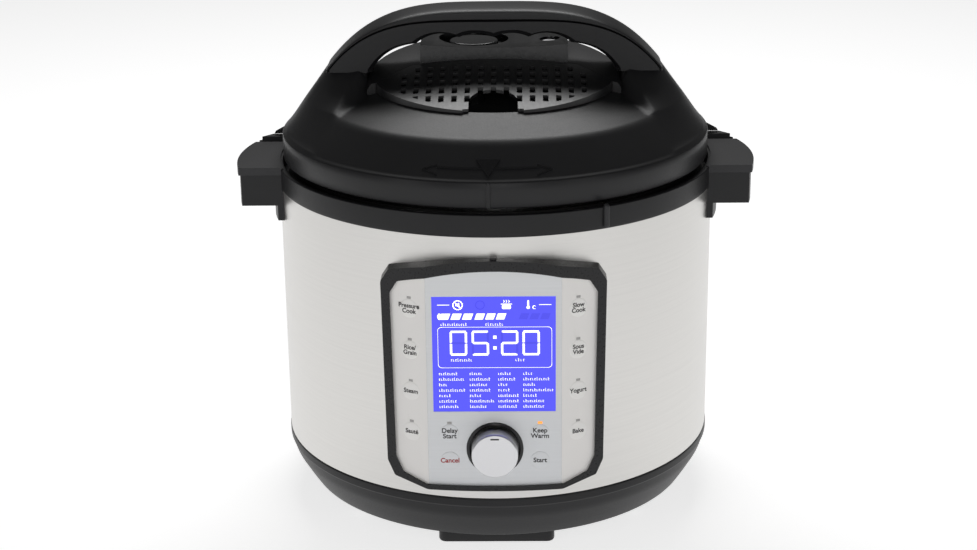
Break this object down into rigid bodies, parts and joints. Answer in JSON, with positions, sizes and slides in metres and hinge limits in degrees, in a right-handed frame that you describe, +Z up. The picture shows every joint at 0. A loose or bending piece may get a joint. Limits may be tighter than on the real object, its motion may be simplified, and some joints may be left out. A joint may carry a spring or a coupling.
{
  "type": "electric pressure cooker",
  "caption": "Countertop electric pressure cooker: round steel body, black lid with bridge handle, front panel with display, keys and dial, removable pot.",
  "frame": {"origin": "on the axis of the round body, in the plane that the feet stand on", "axes": "+Z up along the body axis, front panel faces -Y, +X to the right seen from the front"},
  "size_m": [0.3316, 0.3112, 0.3208],
  "materials": {
    "brushed_steel": "satin, brushed around the body",
    "pot_steel": "bright brushed",
    "black_plastic": "fine grained",
    "black_smooth": "semi gloss",
    "grey_black_plastic": "fine grained",
    "silver_fascia": "brushed, lacquered",
    "white_strip": "satin film",
    "display": "back-lit blue",
    "knob_metal": "spun face",
    "rubber": "matt",
    "silicone": "translucent white",
    "cast_plate": "machined",
    "circuit_board": "solder mask",
    "zinc": "plated",
    "lamp": "diffuse lens",
    "lamp_on": "lit amber lens",
    "silver_valve": "turned"
  },
  "bodies": {
    "cooker": {"steel_shell": "brushed_steel", "base_housing": "black_plastic", "front_foot": "black_plastic", "base_cover": "black_plastic", "rubber_feet": "rubber", "base_screws": "zinc", "upper_collar": "black_plastic", "locking_ring": "pot_steel", "left_handle": "black_plastic", "right_handle": "black_plastic", "left_handle_cap": "grey_black_plastic", "right_handle_cap": "grey_black_plastic", "heating_chamber": "pot_steel", "heating_plate": "cast_plate", "sensor_spring": "zinc", "power_board": "circuit_board", "power_inlet": "black_smooth", "cup_bracket": "black_plastic", "control_board": "circuit_board", "panel_bezel": "black_smooth", "panel_fascia": "silver_fascia", "left_key_strip": "white_strip", "right_key_strip": "white_strip", "lcd_window": "display", "lcd_module": "black_smooth", "knob_ring": "black_smooth", "encoder": "zinc", "indicator_lamps": "lamp", "keep_warm_lamp": "lamp_on"},
    "sensor": {"temperature_sensor": "cast_plate"},
    "knob": {"selector_knob": "knob_metal"},
    "cup": {"condensation_cup": "black_smooth"},
    "pot": {"inner_pot": "pot_steel"},
    "seal": {"sealing_ring": "silicone"},
    "lid": {"lid_shell": "black_plastic", "lid_fins": "black_plastic", "handle_grip": "black_plastic", "handle_cover": "black_plastic", "handle_screws": "zinc", "lid_liner": "pot_steel", "ring_rack": "zinc", "anti_block_shield": "pot_steel", "float_seal": "silicone", "valve_housing": "black_smooth"},
    "diffuser": {"steam_diffuser": "black_smooth"},
    "release": {"release_button": "black_smooth"},
    "valve": {"steam_valve": "black_smooth"},
    "float": {"float_valve": "silver_valve"},
    "left_key_1": {"left_key_1": "white_strip"},
    "left_key_2": {"left_key_2": "white_strip"},
    "left_key_3": {"left_key_3": "white_strip"},
    "left_key_4": {"left_key_4": "white_strip"},
    "right_key_1": {"right_key_1": "white_strip"},
    "right_key_2": {"right_key_2": "white_strip"},
    "right_key_3": {"right_key_3": "white_strip"},
    "right_key_4": {"right_key_4": "white_strip"},
    "delay_key": {"delay_key": "silver_fascia"},
    "cancel_key": {"cancel_key": "silver_fascia"},
    "warm_key": {"warm_key": "silver_fascia"},
    "start_key": {"start_key": "silver_fascia"}
  },
  "joints": [
    {"name": "lid_lift", "type": "slide", "parent": "cooker", "child": "seal", "axis": [0, 0, 1], "range_m": [0, 0.4]},
    {"name": "lid_turn", "type": "hinge", "parent": "seal", "child": "lid", "pos_m": [0, 0, 0.25], "axis": [0, 0, 1], "range_deg": [0, 33]},
    {"name": "pot_lift", "type": "slide", "parent": "cooker", "child": "pot", "axis": [0, 0, 1], "range_m": [0, 0.2]},
    {"name": "knob_turn", "type": "hinge", "parent": "cooker", "child": "knob", "pos_m": [0, -0.144, 0.0768], "axis": [0, -1, 0], "continuous": true},
    {"name": "left_key_1_press", "type": "slide", "parent": "cooker", "child": "left_key_1", "axis": [0.4026, 0.9154, 0], "range_m": [0, 0.0006], "stiffness_N_per_m": 1500},
    {"name": "left_key_2_press", "type": "slide", "parent": "cooker", "child": "left_key_2", "axis": [0.4026, 0.9154, 0], "range_m": [0, 0.0006], "stiffness_N_per_m": 1500},
    {"name": "left_key_3_press", "type": "slide", "parent": "cooker", "child": "left_key_3", "axis": [0.4026, 0.9154, 0], "range_m": [0, 0.0006], "stiffness_N_per_m": 1500},
    {"name": "left_key_4_press", "type": "slide", "parent": "cooker", "child": "left_key_4", "axis": [0.4026, 0.9154, 0], "range_m": [0, 0.0006], "stiffness_N_per_m": 1500},
    {"name": "right_key_1_press", "type": "slide", "parent": "cooker", "child": "right_key_1", "axis": [-0.4026, 0.9154, 0], "range_m": [0, 0.0006], "stiffness_N_per_m": 1500},
    {"name": "right_key_2_press", "type": "slide", "parent": "cooker", "child": "right_key_2", "axis": [-0.4026, 0.9154, 0], "range_m": [0, 0.0006], "stiffness_N_per_m": 1500},
    {"name": "right_key_3_press", "type": "slide", "parent": "cooker", "child": "right_key_3", "axis": [-0.4026, 0.9154, 0], "range_m": [0, 0.0006], "stiffness_N_per_m": 1500},
    {"name": "right_key_4_press", "type": "slide", "parent": "cooker", "child": "right_key_4", "axis": [-0.4026, 0.9154, 0], "range_m": [0, 0.0006], "stiffness_N_per_m": 1500},
    {"name": "delay_key_press", "type": "slide", "parent": "cooker", "child": "delay_key", "axis": [0, 1, 0], "range_m": [0, 0.0006], "stiffness_N_per_m": 1500},
    {"name": "cancel_key_press", "type": "slide", "parent": "cooker", "child": "cancel_key", "axis": [0, 1, 0], "range_m": [0, 0.0006], "stiffness_N_per_m": 1500},
    {"name": "warm_key_press", "type": "slide", "parent": "cooker", "child": "warm_key", "axis": [0, 1, 0], "range_m": [0, 0.0006], "stiffness_N_per_m": 1500},
    {"name": "start_key_press", "type": "slide", "parent": "cooker", "child": "start_key", "axis": [0, 1, 0], "range_m": [0, 0.0006], "stiffness_N_per_m": 1500},
    {"name": "release_press", "type": "slide", "parent": "lid", "child": "release", "axis": [0, 0, -1], "range_m": [0, 0.0035], "stiffness_N_per_m": 1200},
    {"name": "valve_lift", "type": "slide", "parent": "lid", "child": "valve", "axis": [0, 0, 1], "range_m": [0, 0.003]},
    {"name": "float_rise", "type": "slide", "parent": "lid", "child": "float", "axis": [0, 0, 1], "range_m": [0, 0.006]},
    {"name": "diffuser_pull", "type": "slide", "parent": "lid", "child": "diffuser", "axis": [0, -0.9063, 0.4226], "range_m": [0, 0.18]},
    {"name": "sensor_press", "type": "slide", "parent": "cooker", "child": "sensor", "axis": [0, 0, -1], "range_m": [0, 0.002], "stiffness_N_per_m": 1200, "deforming": ["sensor_spring"]},
    {"name": "cup_pull", "type": "slide", "parent": "cooker", "child": "cup", "axis": [0, 1, 0], "range_m": [0, 0.06]}
  ],
  "couplings": [
    {"joint": "pot_lift", "follows": "lid_lift", "ratio": 0.5},
    {"joint": "valve_lift", "follows": "release_press", "ratio": 0.857}
  ]
}
